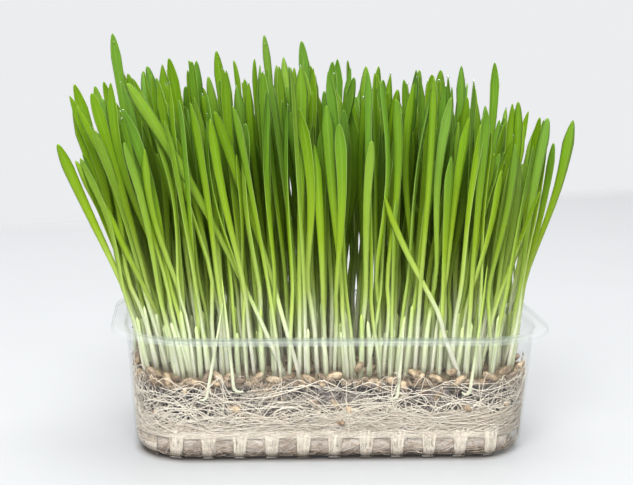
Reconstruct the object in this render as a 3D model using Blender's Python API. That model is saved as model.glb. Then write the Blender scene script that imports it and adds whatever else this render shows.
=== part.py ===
"""A tray of barley grass: a clear ribbed tray, felted roots and soil, sprouted grain and rows of blades.

Metres, +Z up, +X along the tray. The origin is the middle of the tray's foot, on the surface under it.
"""

import math
import random

import bmesh
import bpy
from mathutils import Vector

# Tray, outside sizes
RIM_LENGTH = 0.190
RIM_WIDTH = 0.112
RIM_RADIUS = 0.036
RIM_HEIGHT = 0.055
FLANGE = 0.006
LIP = 0.0024
SHEET = 0.0007
DRAFT = math.tan(math.radians(5.0))
FOOT_ROUNDING = 0.006
CORNER_STEPS = 7

# Ribbed floor: channels that run front to back, with open gaps between them
CHANNELS = 11
CHANNEL_PITCH = 0.0134
CHANNEL_DEPTH = 0.0094
GAP_TOP = 0.0038
GAP_FOOT = 0.0043
GAP_MOUTH = 0.0050
GAP_CHAMFER = 0.0009
END_GAP_NARROWER = 0.0019
END_GAP_SHIFT = 0.0015

# Contents, from the floor up
CLEARANCE = 0.0003
MAT_TOP = 0.0230
FELT_RELIEF = 0.0011
FELT_SPACING = 0.0080
FELT_LEVELS = (0.0135, 0.0185)
SOIL_TOP = 0.0335
SOIL_INSET = 0.0026
SOIL_RELIEF = 0.0012
SOIL_SPACING = 0.0070
LAYER_TOP = 0.0352
LAYER_INSET = 0.0022
STRANDS = 18
STRAND_RADIUS = 0.00040
STRAND_INSET = 0.0013
STRAND_STEPS = 5

# Grain
GRAIN_LENGTH = 0.0078
GRAIN_WIDTH = 0.0034
GRAIN_SIDES = 5
GRAIN_INSET = 0.0029
GRAIN_RISE = 0.0006
GRAINS_ON_EDGE = 36
GRAINS_PER_STRIP = 1

# Rows of grass
ROWS = 8
ROW_PITCH = 0.0112
ROW_HALF_WIDTH = 0.0023
SLOT_HALF_WIDTH = 0.0027
ROW_END_SPACE = 0.0012
BLADE_STEP = 0.0037
LAYERS = 3
ROOT_STAGGER = 0.0009
TOP_STAGGER = 0.0044
FAN_OUT = 1.22
LAYER_SWAY = 0.0090
SWAY_LENGTH = 0.011
STEM_RADIUS = 0.00095
LEAF_WIDTH = 0.0049
LEAF_RIDGE = 0.0009
LEAF_SHAPE = ((0.0, 0.0), (0.45, 0.12), (0.72, 0.6), (0.92, 1.0))
LEAF_VARIETY = (0.68, 1.16)
TIP_GAP = 0.0044
TIP_SCATTER = 0.0036
TALL_SHARE = 0.3
TALL_SPREAD = 0.005
LOWER_TIPS = (0.010, 0.034)
RIM_SPACE = 0.0022
SEED = 12

# The height that the tallest tips reach, along the tray: x, z
CROWN = (
    (-0.120, 0.140),
    (-0.105, 0.158),
    (-0.060, 0.167),
    (0.0, 0.167),
    (0.060, 0.162),
    (0.085, 0.148),
    (0.110, 0.136),
)

# Blades that stand out, chosen by eye: row, root x, tip x, tip height, leaf width
LONE_BLADES = (
    (0, -0.021, -0.087, 0.159, 0.0056),
    (0, -0.016, -0.052, 0.148, 0.0048),
    (0, 0.052, 0.018, 0.114, 0.0034),
    (1, -0.078, -0.116, 0.133, 0.0048),
    (1, -0.071, -0.102, 0.154, 0.0050),
    (2, -0.080, -0.112, 0.152, 0.0052),
    (2, 0.079, 0.103, 0.144, 0.0056),
    (3, -0.081, -0.111, 0.156, 0.0050),
    (3, 0.068, 0.079, 0.150, 0.0050),
    (4, -0.050, -0.071, 0.167, 0.0048),
    (4, 0.078, 0.094, 0.140, 0.0044),
    (5, -0.076, -0.096, 0.177, 0.0046),
    (5, -0.038, -0.050, 0.170, 0.0048),
    (5, -0.003, -0.012, 0.175, 0.0050),
    (5, 0.054, 0.061, 0.165, 0.0046),
    (6, -0.020, -0.028, 0.177, 0.0036),
    (6, 0.068, 0.079, 0.166, 0.0046),
)

COLOURS = {
    "clear_plastic": ((0.86, 0.90, 0.88, 1.0), 0.12),
    "root_felt": ((0.80, 0.74, 0.62, 1.0), 0.85),
    "dark_soil": ((0.055, 0.045, 0.04, 1.0), 0.95),
    "barley_grain": ((0.42, 0.27, 0.14, 1.0), 0.7),
    "barley_green": ((0.22, 0.42, 0.05, 1.0), 0.45),
}


def material(name):
    """The Principled material of that name, made once."""
    found = bpy.data.materials.get(name)
    if found:
        return found
    made = bpy.data.materials.new(name)
    made.use_nodes = True
    shader = made.node_tree.nodes["Principled BSDF"]
    shader.inputs["Base Color"].default_value, shader.inputs["Roughness"].default_value = COLOURS[name]
    shader.inputs["Metallic"].default_value = 0.0
    if name == "clear_plastic":
        shader.inputs["Transmission Weight"].default_value = 0.9
    return made


def solid(name, shape, collection):
    """An object from a finished bmesh, its faces turned outwards."""
    bmesh.ops.recalc_face_normals(shape, faces=shape.faces)
    mesh = bpy.data.meshes.new(name)
    shape.to_mesh(mesh)
    shape.free()
    made = bpy.data.objects.new(name, mesh)
    collection.objects.link(made)
    return made


def close_end(shape, ring, point):
    """Closes a ring of vertices with a flat cap, or draws it to a point."""
    if point is None:
        shape.faces.new(ring)
        return
    end = shape.verts.new(point)
    for first, second in zip(ring, ring[1:] + ring[:1]):
        shape.faces.new((first, second, end))


def loft(name, rings, collection, foot=None, apex=None):
    """A closed solid through rings of equal point counts, with ends that are flat or drawn to a point."""
    shape = bmesh.new()
    loops = [[shape.verts.new(point) for point in ring] for ring in rings]
    for lower, upper in zip(loops, loops[1:]):
        for k in range(len(lower)):
            shape.faces.new((lower[k - 1], lower[k], upper[k], upper[k - 1]))
    close_end(shape, loops[0][::-1], foot)
    close_end(shape, loops[-1], apex)
    return solid(name, shape, collection)


def combine(target, operation, tools, solver="EXACT"):
    """Applies one Boolean of the target with the collection of tools, which is then removed."""
    modifier = target.modifiers.new("Combine", "BOOLEAN")
    modifier.operation = operation
    modifier.operand_type = "COLLECTION"
    modifier.collection = tools
    modifier.solver = solver
    bpy.context.view_layer.objects.active = target
    bpy.ops.object.modifier_apply(modifier=modifier.name)
    for tool in list(tools.objects):
        bpy.data.objects.remove(tool)
    bpy.data.collections.remove(tools)
    return target


def keep_largest(piece):
    """Keeps the largest shell of a mesh: a hollow that fusing sealed is filled, and a loose scrap goes."""
    shape = bmesh.new()
    shape.from_mesh(piece.data)
    unseen = set(shape.verts)
    shells = []
    while unseen:
        found = {unseen.pop()}
        edge_of_search = list(found)
        while edge_of_search:
            near = {edge.other_vert(vert) for vert in edge_of_search for edge in vert.link_edges} - found
            found |= near
            edge_of_search = list(near)
        unseen -= found
        shells.append(found)
    shells.sort(key=len)
    bmesh.ops.delete(shape, geom=[vert for shell in shells[:-1] for vert in shell], context="VERTS")
    shape.to_mesh(piece.data)
    shape.free()


def toolbox(name):
    """An empty collection for shapes that a Boolean is about to use up."""
    made = bpy.data.collections.new(name)
    bpy.context.scene.collection.children.link(made)
    return made


def outline(half_x, half_y, radius, z, spacing=None):
    """A rounded rectangle at height z, counter-clockwise, its straight sides divided at the spacing."""
    points = []
    for k, (side_x, side_y) in enumerate(((1, -1), (1, 1), (-1, 1), (-1, -1))):
        centre = Vector((side_x * (half_x - radius), side_y * (half_y - radius), z))
        for step in range(CORNER_STEPS + 1):
            angle = math.pi / 2 * (k - 1 + step / CORNER_STEPS)
            points.append(centre + radius * Vector((math.cos(angle), math.sin(angle), 0)))
        if spacing:
            run = 2 * ((half_y - radius) if k % 2 == 0 else (half_x - radius))
            side = Vector((0, run, 0)) if k % 2 == 0 else Vector((run, 0, 0))
            side *= 1 if k < 1 or k > 2 else -1
            pieces = max(1, round(run / spacing))
            points += [points[-1] + side * n / pieces for n in range(1, pieces)]
    return points


def basin_ring(z, inset, spacing=None):
    """The tray wall's outline at height z, taken inwards by inset."""
    half_x = RIM_LENGTH / 2 - FLANGE - (RIM_HEIGHT - z) * DRAFT - inset
    half_y = RIM_WIDTH / 2 - FLANGE - (RIM_HEIGHT - z) * DRAFT - inset
    radius = RIM_RADIUS - FLANGE - (RIM_HEIGHT - z) * DRAFT - inset
    return outline(half_x, half_y, radius, z, spacing)


def foot_levels(offset):
    """(height, inset) up the rounded foot of the basin that lies offset inside the tray's outer face."""
    arc = FOOT_ROUNDING - offset
    angles = [math.radians(a) for a in (0, 35, 65, 90)]
    return [(FOOT_ROUNDING - arc * math.cos(a), FOOT_ROUNDING - arc * math.sin(a)) for a in angles]


def rib_gaps(grow, tools, keep_right_foot_empty=False):
    """The gaps under the floor, between the channels, each grown all round by grow."""
    length = RIM_WIDTH * 0.6
    first = -(CHANNELS - 1) / 2 * CHANNEL_PITCH
    for k in range(CHANNELS + 1):
        middle = first + (k - 0.5) * CHANNEL_PITCH
        narrower = 0.0
        if k in (0, CHANNELS):
            narrower = END_GAP_NARROWER
            middle += END_GAP_SHIFT if k == 0 else -END_GAP_SHIFT
        half = (
            (GAP_MOUTH, -0.002),
            (GAP_MOUTH, 0.0),
            (GAP_FOOT, GAP_CHAMFER),
            (GAP_TOP, CHANNEL_DEPTH - 0.0004),
            (GAP_TOP - 0.0005, CHANNEL_DEPTH),
        )
        right = [(x - narrower + grow, z + (grow if z > 0.001 else 0.0)) for x, z in half]
        section = right + [(-x, z) for x, z in reversed(right)]
        if keep_right_foot_empty and k == CHANNELS:
            section = [(x if x < 0 else RIM_LENGTH / 8, z) for x, z in section]
        rings = [[Vector((middle + x, y, z)) for x, z in section] for y in (-length, length)]
        loft(f"gap_{k}", rings, tools)


def basin(name, offset, top, collection, spacing=None, relief=0.0, levels=()):
    """The tray's inside as a solid, offset inwards from its outer face, up to the height top."""
    heights = foot_levels(offset) + [(z, offset) for z in levels] + [(top, offset)]
    rings = []
    for z, inset in heights:
        outer = basin_ring(z, inset, spacing)
        if relief and z > FOOT_ROUNDING * 0.9:
            inner = basin_ring(z, inset + relief, spacing)
            outer = [a.lerp(b, felt(a)) for a, b in zip(outer, inner)]
        rings.append(outer)
    return loft(name, rings, collection)


def felt(point):
    """How far the matted surface is drawn in at a point, from 0 to 1: long waves crossed by short ones."""
    along = point.x + point.y * 1.3
    waves = math.sin(along * 390 + 2.1 * math.sin(point.z * 410))
    waves += 0.7 * math.sin(along * 145 - point.z * 520)
    return min(1.0, max(0.0, 0.5 + 0.32 * waves))


def build_tray(collection):
    """The clear tray, one thin sheet: drafted wall, flange with a turned-down lip, and ribbed floor."""
    rings = [basin_ring(z, inset) for z, inset in foot_levels(0.0)]
    under_flange = RIM_HEIGHT - SHEET
    lip_foot = RIM_HEIGHT - LIP
    half_x, half_y = RIM_LENGTH / 2, RIM_WIDTH / 2
    rings += [
        basin_ring(under_flange, 0.0),
        outline(half_x - SHEET, half_y - SHEET, RIM_RADIUS - SHEET, under_flange),
        outline(half_x - SHEET, half_y - SHEET, RIM_RADIUS - SHEET, lip_foot),
        outline(half_x, half_y, RIM_RADIUS, lip_foot),
        outline(half_x, half_y, RIM_RADIUS, RIM_HEIGHT - SHEET / 2),
        outline(half_x - SHEET / 2, half_y - SHEET / 2, RIM_RADIUS - SHEET / 2, RIM_HEIGHT),
    ]
    tray = loft("tray", rings, collection)
    gaps = toolbox("gaps")
    rib_gaps(0.0, gaps)
    combine(tray, "DIFFERENCE", gaps)
    inside = toolbox("inside")
    hollow = basin("hollow", SHEET, RIM_HEIGHT + 0.002, bpy.context.scene.collection)
    grown = toolbox("grown gaps")
    rib_gaps(SHEET, grown)
    combine(hollow, "DIFFERENCE", grown)
    inside.objects.link(hollow)
    combine(tray, "DIFFERENCE", inside)
    return finish_piece(tray, "clear_plastic")


def wall_point(share, z, inset):
    """A point that share of the way round the tray, at height z and inset from the wall's outer face."""
    ring = basin_ring(z, inset, 0.01)
    sides = [(b - a).length for a, b in zip(ring, ring[1:] + ring[:1])]
    wanted = (share % 1.0) * sum(sides)
    for k, side in enumerate(sides):
        if wanted <= side:
            return ring[k].lerp(ring[(k + 1) % len(ring)], wanted / side)
        wanted -= side
    return ring[0]


def tube(name, path, radius, collection):
    """A three-sided tube along a path, for a root strand."""
    rings = []
    for k, point in enumerate(path):
        along = (path[min(k + 1, len(path) - 1)] - path[max(k - 1, 0)]).normalized()
        side = along.cross(Vector((0.2, 0.1, 1))).normalized()
        other = along.cross(side)
        turns = [2 * math.pi * n / 3 for n in range(3)]
        rings.append([point + radius * (math.cos(t) * side + math.sin(t) * other) for t in turns])
    return loft(name, rings, collection)


def build_root_mat(collection):
    """The felt of roots, which fills the channels and the lower tray, and strands that arch over the soil."""
    offset = SHEET + CLEARANCE
    mat = basin("root_mat", offset, MAT_TOP, collection, FELT_SPACING, FELT_RELIEF, FELT_LEVELS)
    gaps = toolbox("mat gaps")
    rib_gaps(offset, gaps, keep_right_foot_empty=True)
    combine(mat, "DIFFERENCE", gaps)
    rng = random.Random(SEED)
    strands = toolbox("strands")
    for k in range(STRANDS):
        start = (k + rng.uniform(-0.3, 0.3)) / STRANDS
        span = rng.uniform(0.035, 0.075)
        crest = rng.uniform(0.0265, 0.0325)
        path = []
        for step in range(STRAND_STEPS + 1):
            t = step / STRAND_STEPS
            lift = math.sin(math.pi * t) ** 0.8
            z = MAT_TOP - 0.0028 + (crest - MAT_TOP + 0.0028) * lift
            inset = SHEET + STRAND_INSET + 0.0014 * (1 - min(1.0, lift * 2.2))
            path.append(wall_point(start + span * t, z, inset))
        tube(f"strand_{k}", path, STRAND_RADIUS, strands)
    combine(mat, "UNION", strands)
    return finish_piece(mat, "root_felt")


def build_soil(collection):
    """The dark soil over the felt, lumpy where it faces the tray wall."""
    rings = []
    for z in (MAT_TOP + CLEARANCE, (MAT_TOP + SOIL_TOP) / 2, SOIL_TOP):
        outer = basin_ring(z, SHEET + SOIL_INSET, SOIL_SPACING)
        inner = basin_ring(z, SHEET + SOIL_INSET + SOIL_RELIEF, SOIL_SPACING)
        rings.append([a.lerp(b, 1 - felt(Vector((a.x * 1.7, a.y, a.z)))) for a, b in zip(outer, inner)])
    return finish_piece(loft("soil", rings, collection), "dark_soil")


def row_y(row):
    """Where a row of grass stands, front row first."""
    return (row - (ROWS - 1) / 2) * ROW_PITCH


def row_reach(row):
    """Half the length of a row: its corners stay inside the tray's rounded ends."""
    inset = SHEET + LAYER_INSET + ROW_END_SPACE
    slope = (RIM_HEIGHT - LAYER_TOP) * DRAFT
    radius = RIM_RADIUS - FLANGE - slope - inset
    past = abs(row_y(row)) + SLOT_HALF_WIDTH - (RIM_WIDTH / 2 - FLANGE - slope - inset - radius)
    return RIM_LENGTH / 2 - FLANGE - slope - inset - radius + math.sqrt(radius**2 - max(0.0, past) ** 2)


def box(name, low, high, collection):
    """A plain block between two corners."""
    shape = bmesh.new()
    bmesh.ops.create_cube(shape, size=1.0)
    low, high = Vector(low), Vector(high)
    for vert in shape.verts:
        vert.co = (low + high) / 2 + Vector(a * b for a, b in zip(vert.co, high - low))
    return solid(name, shape, collection)


def grain(name, centre, heading, tilt, collection):
    """One barley grain: a five-sided spindle, pointed at both ends."""
    along = Vector((math.cos(heading) * math.cos(tilt), math.sin(heading) * math.cos(tilt), math.sin(tilt)))
    side = along.cross(Vector((0, 0, 1))).normalized()
    up = side.cross(along)
    turns = [2 * math.pi * (n + 0.5) / GRAIN_SIDES for n in range(GRAIN_SIDES)]
    section = [GRAIN_WIDTH / 2 * (math.cos(turn) * side + math.sin(turn) * up) for turn in turns]
    rings = [[centre + along * GRAIN_LENGTH * share + point for point in section] for share in (-0.18, 0.2)]
    ends = [centre + along * GRAIN_LENGTH * share for share in (-0.5, 0.5)]
    return loft(name, rings, collection, foot=ends[0], apex=ends[1])


def clear_of_rows(centre, heading):
    """Whether a grain lying there keeps off every row of grass."""
    for step in (-0.5, -0.25, 0.0, 0.25, 0.5):
        x = centre.x + math.cos(heading) * step * GRAIN_LENGTH
        y = centre.y + math.sin(heading) * step * GRAIN_LENGTH
        for row in range(ROWS):
            beyond = max(0.0, abs(x) - row_reach(row))
            aside = max(0.0, abs(y - row_y(row)) - SLOT_HALF_WIDTH)
            if math.hypot(beyond, aside) < GRAIN_WIDTH / 2:
                return False
    return True


def build_grain_layer(collection):
    """The sown grain: a thin matted layer, slotted for the rows, with grains standing out of it."""
    base = SOIL_TOP + CLEARANCE
    rings = [basin_ring(z, SHEET + LAYER_INSET) for z in (base, LAYER_TOP)]
    layer = loft("grain_layer", rings, collection)
    slots = toolbox("slots")
    for row in range(ROWS):
        reach = row_reach(row) + 0.0006
        y = row_y(row)
        low = (-reach, y - SLOT_HALF_WIDTH, base - 0.002)
        high = (reach, y + SLOT_HALF_WIDTH, 0.042)
        box(f"slot_{row}", low, high, slots)
    combine(layer, "DIFFERENCE", slots)
    rng = random.Random(SEED + 1)
    grains = toolbox("grains")
    for k in range(GRAINS_ON_EDGE):
        share = (k + rng.uniform(-0.2, 0.2)) / GRAINS_ON_EDGE
        height = LAYER_TOP + GRAIN_RISE + rng.uniform(-0.0003, 0.0006)
        place = wall_point(share, height, GRAIN_INSET)
        ahead = wall_point(share + 0.01, height, GRAIN_INSET) - place
        heading = math.atan2(ahead.y, ahead.x) + rng.uniform(-0.12, 0.12)
        if clear_of_rows(place, heading):
            grain(f"edge_grain_{k}", place, heading, rng.uniform(-0.12, 0.12), grains)
    for strip in range(ROWS - 1):
        y = row_y(strip) + ROW_PITCH / 2
        for k in range(GRAINS_PER_STRIP):
            x = (k - (GRAINS_PER_STRIP - 1) / 2 + rng.uniform(-0.3, 0.3)) * 0.060
            centre = Vector((x, y, LAYER_TOP + GRAIN_RISE))
            heading = rng.uniform(-0.2, 0.2)
            grain(f"strip_grain_{strip}_{k}", centre, heading, rng.uniform(-0.1, 0.1), grains)
    combine(layer, "UNION", grains)
    return finish_piece(layer, "barley_grain")


def rim_room(x, y):
    """How far inside the tray's mouth a point lies, less the space that a blade needs there."""
    radius = RIM_RADIUS - FLANGE
    over_x = abs(x) - (RIM_LENGTH / 2 - FLANGE - radius)
    over_y = abs(y) - (RIM_WIDTH / 2 - FLANGE - radius)
    outside = math.hypot(max(over_x, 0.0), max(over_y, 0.0)) + min(max(over_x, over_y), 0.0) - radius
    return -outside - SHEET - RIM_SPACE


def lean_at(x):
    """How far the tips stand to the side of their roots: well out at the left end, less at the right."""
    share = x / (RIM_LENGTH / 2)
    return -0.006 + 0.024 * share - 0.004 * share**2


def sway_at(x, phase):
    """How far a layer of a row sways aside at x, on top of its lean. The sway fades at the tray's ends."""
    return LAYER_SWAY * math.sin(x / SWAY_LENGTH + phase) * math.sqrt(1 - abs(x) / (RIM_LENGTH / 2))


def crown_at(x):
    """How high the tallest tips reach at x."""
    for (x0, z0), (x1, z1) in zip(CROWN, CROWN[1:]):
        if x < x1:
            return z0 + (z1 - z0) * max(0.0, (x - x0) / (x1 - x0))
    return CROWN[-1][1]


def below_crown(rng):
    """How far a tip stays below the crown: some blades reach it, and the others end lower."""
    if rng.random() < TALL_SHARE:
        return min(2.8, abs(rng.gauss(0, 1))) * TALL_SPREAD
    return rng.uniform(*LOWER_TIPS)


class Blade:
    """A blade of grass, from a root in its row to a tip, turned to face some way."""

    def __init__(self, row, root, tip, width, facing):
        self.row = row
        self.root = root
        self.tip = tip
        self.width = width
        self.facing = facing
        self.straight = self.bend_inside_rim()

    def bend_inside_rim(self):
        """How straight it leans: as much as keeps it inside the tray's mouth, and it bends outwards above."""
        for straight in (0.75, 0.6, 0.45, 0.3, 0.15):
            at_rim = self.at((RIM_HEIGHT - self.root.z) / (self.tip.z - self.root.z), straight)
            if rim_room(at_rim.x, at_rim.y) > 0:
                return straight
        return 0.0

    def at(self, t, straight=None):
        """The point on its middle at the share t of its height."""
        straight = self.straight if straight is None else straight
        share = straight * t + (1 - straight) * t * t
        point = self.root.lerp(self.tip, share)
        point.z = self.root.z + (self.tip.z - self.root.z) * t
        return point


def room_to_turn(layer, width):
    """The most that a leaf of that width can turn in its layer without reaching the next row."""
    room = ROW_PITCH * FAN_OUT / 2 - abs(layer - 1) * TOP_STAGGER - LEAF_RIDGE / 2 - CLEARANCE / 2
    return math.asin(min(0.96, room / (width / 2)))


def sward():
    """Every blade, row by row: three staggered layers to a row, then the ones that stand out."""
    rng = random.Random(SEED + 2)
    blades = []
    for row in range(ROWS):
        y = row_y(row)
        reach = row_reach(row) - 0.0018
        count = int(2 * reach / BLADE_STEP) + 1
        last_tip = [-1.0] * LAYERS
        phases = [rng.uniform(0, 2 * math.pi) for _ in range(LAYERS)]
        for k in range(count):
            layer = (k + row) % LAYERS
            root_x = -reach + 2 * reach * k / (count - 1) + rng.uniform(-0.2, 0.2) * BLADE_STEP
            root_x = max(-reach, min(reach, root_x))
            lean = lean_at(root_x) + sway_at(root_x, phases[layer])
            tip_x = max(root_x + lean + rng.gauss(0, TIP_SCATTER), last_tip[layer] + TIP_GAP)
            last_tip[layer] = tip_x
            tip_z = crown_at(tip_x) - below_crown(rng)
            width = LEAF_WIDTH * rng.uniform(*LEAF_VARIETY)
            turn = room_to_turn(layer, width)
            root = Vector((root_x, y + (layer - 1) * ROOT_STAGGER, LAYER_TOP - 0.0008))
            tip = Vector((tip_x, y * FAN_OUT + (layer - 1) * TOP_STAGGER, tip_z))
            blades.append(Blade(row, root, tip, width, rng.uniform(-turn, turn)))
    for row, root_x, tip_x, tip_z, width in LONE_BLADES:
        y = row_y(row)
        reach = row_reach(row) - 0.0018
        root = Vector((max(-reach, min(reach, root_x)), y, LAYER_TOP - 0.0008))
        blades.append(Blade(row, root, Vector((tip_x, y * FAN_OUT, tip_z)), width, 0.25))
    return blades


def blade_solid(name, blade, collection):
    """A blade: a round-backed stem that opens into a long flat leaf with a ridge, drawn to a tip."""
    rings = []
    for t, spread in LEAF_SHAPE:
        point = blade.at(t)
        along = (blade.at(t + 0.03) - blade.at(t)).normalized()
        across = Vector((math.cos(blade.facing), math.sin(blade.facing), 0))
        across = (across - along * across.dot(along)).normalized()
        half = across * (STEM_RADIUS + (blade.width / 2 - STEM_RADIUS) * spread)
        back = along.cross(across) * (1.6 * STEM_RADIUS + (LEAF_RIDGE - 1.6 * STEM_RADIUS) * spread) / 2
        rings.append([point - half - back, point + half - back, point + back])
    return loft(name, rings, collection, apex=blade.tip)


def build_grass(collection):
    """Each row of blades, fused to the strip of matted crowns that it grows from."""
    blades = sward()
    for row in range(ROWS):
        reach, y = row_reach(row), row_y(row)
        low = (-reach, y - ROW_HALF_WIDTH, SOIL_TOP + CLEARANCE)
        high = (reach, y + ROW_HALF_WIDTH, LAYER_TOP + 0.0002)
        crowns = box(f"grass_row_{row + 1}", low, high, collection)
        tufts = toolbox(f"blades of row {row + 1}")
        for k, blade in enumerate(b for b in blades if b.row == row):
            blade_solid(f"blade_{row}_{k}", blade, tufts)
        combine(crowns, "UNION", tufts, solver="MANIFOLD")
        keep_largest(crowns)
        finish_piece(crowns, "barley_green")


def finish_piece(piece, colour):
    """Gives a piece its one material and smooth shading with its edges kept sharp."""
    piece.data.materials.clear()
    piece.data.materials.append(material(colour))
    for face in piece.data.polygons:
        face.material_index = 0
    piece.data.shade_smooth()
    piece.data.set_sharp_from_angle(angle=math.radians(35))
    return piece


def main():
    for leftover in list(bpy.data.objects):
        bpy.data.objects.remove(leftover)
    collection = bpy.data.collections.new("barley grass tray")
    bpy.context.scene.collection.children.link(collection)
    build_tray(collection)
    build_root_mat(collection)
    build_soil(collection)
    build_grain_layer(collection)
    build_grass(collection)


main()
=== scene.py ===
"""The looks of the tray of barley grass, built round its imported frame.

Metres, +Z up, +X along the tray, whose photographed long side faces -Y. The tray's sizes and the rule that
places the blades repeat those of the part's source, so each fine piece stays close to its solid.
"""

import math
import random
from types import SimpleNamespace as Kind

import bmesh
import bpy
import numpy as np
from mathutils import Matrix, Vector, noise

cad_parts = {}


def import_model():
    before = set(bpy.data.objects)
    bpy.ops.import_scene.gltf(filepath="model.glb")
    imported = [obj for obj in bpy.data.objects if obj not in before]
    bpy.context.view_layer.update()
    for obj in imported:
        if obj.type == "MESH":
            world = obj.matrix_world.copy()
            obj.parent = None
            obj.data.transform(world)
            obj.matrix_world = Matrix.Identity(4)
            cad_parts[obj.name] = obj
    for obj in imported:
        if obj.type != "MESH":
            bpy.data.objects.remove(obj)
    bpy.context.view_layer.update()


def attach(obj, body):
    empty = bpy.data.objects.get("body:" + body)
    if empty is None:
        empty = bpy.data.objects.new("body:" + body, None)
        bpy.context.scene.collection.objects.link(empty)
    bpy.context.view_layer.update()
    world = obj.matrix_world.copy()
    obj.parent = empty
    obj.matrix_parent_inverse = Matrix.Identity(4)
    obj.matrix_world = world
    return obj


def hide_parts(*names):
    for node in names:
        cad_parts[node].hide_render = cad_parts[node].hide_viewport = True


# Tray, as in the part's source
RIM_LENGTH = 0.190
RIM_WIDTH = 0.112
RIM_RADIUS = 0.036
RIM_HEIGHT = 0.055
FLANGE = 0.006
LIP = 0.0024
SHEET = 0.0007
DRAFT = math.tan(math.radians(5.0))
FOOT_ROUNDING = 0.006
CHANNELS = 11
CHANNEL_PITCH = 0.0134
CHANNEL_DEPTH = 0.0094
GAP_TOP = 0.0038
GAP_FOOT = 0.0043
GAP_MOUTH = 0.0050
GAP_CHAMFER = 0.0009
END_GAP_NARROWER = 0.0019
END_GAP_SHIFT = 0.0015
CORNER_STEPS = 16

# Contents, as in the part's source
CLEARANCE = 0.0003
FELT_INSET = SHEET + CLEARANCE
MAT_TOP = 0.0230
FELT_RELIEF = 0.0011
SOIL_TOP = 0.0335
SOIL_INSET = 0.0026
SOIL_RELIEF = 0.0012
LAYER_TOP = 0.0352
LAYER_INSET = 0.0022
GRAIN_LENGTH = 0.0078
GRAIN_WIDTH = 0.0034
GRAIN_INSET = 0.0029
GRAIN_RISE = 0.0006
GRAINS_ON_EDGE = 36

# Rows of grass, as in the part's source
ROWS = 8
ROW_PITCH = 0.0112
SLOT_HALF_WIDTH = 0.0027
ROW_END_SPACE = 0.0012
BLADE_STEP = 0.0037
LAYERS = 3
ROOT_SPACE = 0.0018
ROOT_HEIGHT = LAYER_TOP - 0.0008
ROOT_STAGGER = 0.0009
TOP_STAGGER = 0.0044
FAN_OUT = 1.22
LAYER_SWAY = 0.0090
SWAY_LENGTH = 0.011
STEM_RADIUS = 0.00095
LEAF_WIDTH = 0.0049
LEAF_RIDGE = 0.0009
LEAF_SHAPE = ((0.0, 0.0), (0.45, 0.12), (0.72, 0.6), (0.92, 1.0))
LEAF_VARIETY = (0.68, 1.16)
TIP_GAP = 0.0044
TIP_SCATTER = 0.0036
TALL_SHARE = 0.3
TALL_SPREAD = 0.005
LOWER_TIPS = (0.010, 0.034)
RIM_SPACE = 0.0022
SEED = 12
CROWN = (
    (-0.120, 0.140),
    (-0.105, 0.158),
    (-0.060, 0.167),
    (0.0, 0.167),
    (0.060, 0.162),
    (0.085, 0.148),
    (0.110, 0.136),
)
LONE_BLADES = (
    (0, -0.021, -0.087, 0.159, 0.0056),
    (0, -0.016, -0.052, 0.148, 0.0048),
    (0, 0.052, 0.018, 0.114, 0.0034),
    (1, -0.078, -0.116, 0.133, 0.0048),
    (1, -0.071, -0.102, 0.154, 0.0050),
    (2, -0.080, -0.112, 0.152, 0.0052),
    (2, 0.079, 0.103, 0.144, 0.0056),
    (3, -0.081, -0.111, 0.156, 0.0050),
    (3, 0.068, 0.079, 0.150, 0.0050),
    (4, -0.050, -0.071, 0.167, 0.0048),
    (4, 0.078, 0.094, 0.140, 0.0044),
    (5, -0.076, -0.096, 0.177, 0.0046),
    (5, -0.038, -0.050, 0.170, 0.0048),
    (5, -0.003, -0.012, 0.175, 0.0050),
    (5, 0.054, 0.061, 0.165, 0.0046),
    (6, -0.020, -0.028, 0.177, 0.0036),
    (6, 0.068, 0.079, 0.166, 0.0046),
)

# Fine blades
BLADE_SIDES = 8
BLADE_LEVELS = (0.0, 0.06, 0.13, 0.21, 0.29, 0.37, 0.45, 0.53, 0.6, 0.67, 0.74, 0.81, 0.88, 0.94, 1.0)
TIP_LEVELS = (0.75, 0.52, 0.32, 0.16, 0.06)
LEAF_THICKNESS = 0.00032
TIP_LENGTH = 0.0105
FILLERS_PER_ROW = 4
END_FILLERS_PER_ROW = 10
FILLER_ENDS = (-0.106, 0.094)
FILLER_ASIDE = 0.051
FILLER_LOWEST = 0.094
SHEATH_SHARE = 0.72
SHEATH_STEPS = 6
HOOKED_SHOOTS = 11
HOOK_STEPS = 9
DROPS = 170

# Felt, soil and grain
RING_SPACING = 0.0022
FELT_LUMP = 0.0012
FELT_DIP = 0.0050
FILM_FOOT = 0.0006
FILM_INSET = 0.0015
FILM_THICKNESS = 0.0005
FILM_OVERLAP = 0.0006
CRUMBS = 520
CRUMB_SIZES = (0.0005, 0.0007, 0.0009, 0.0013)
STRAY_CRUMBS = 34
GRAINS_AT_WALL = 150
GRAINS_IN_SOIL = 30
GRAINS_ON_TOP = 190
GRAIN_PROFILE = ((-0.44, 0.45), (-0.33, 0.78), (-0.14, 1.0), (0.06, 1.0), (0.25, 0.84), (0.40, 0.5))

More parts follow.
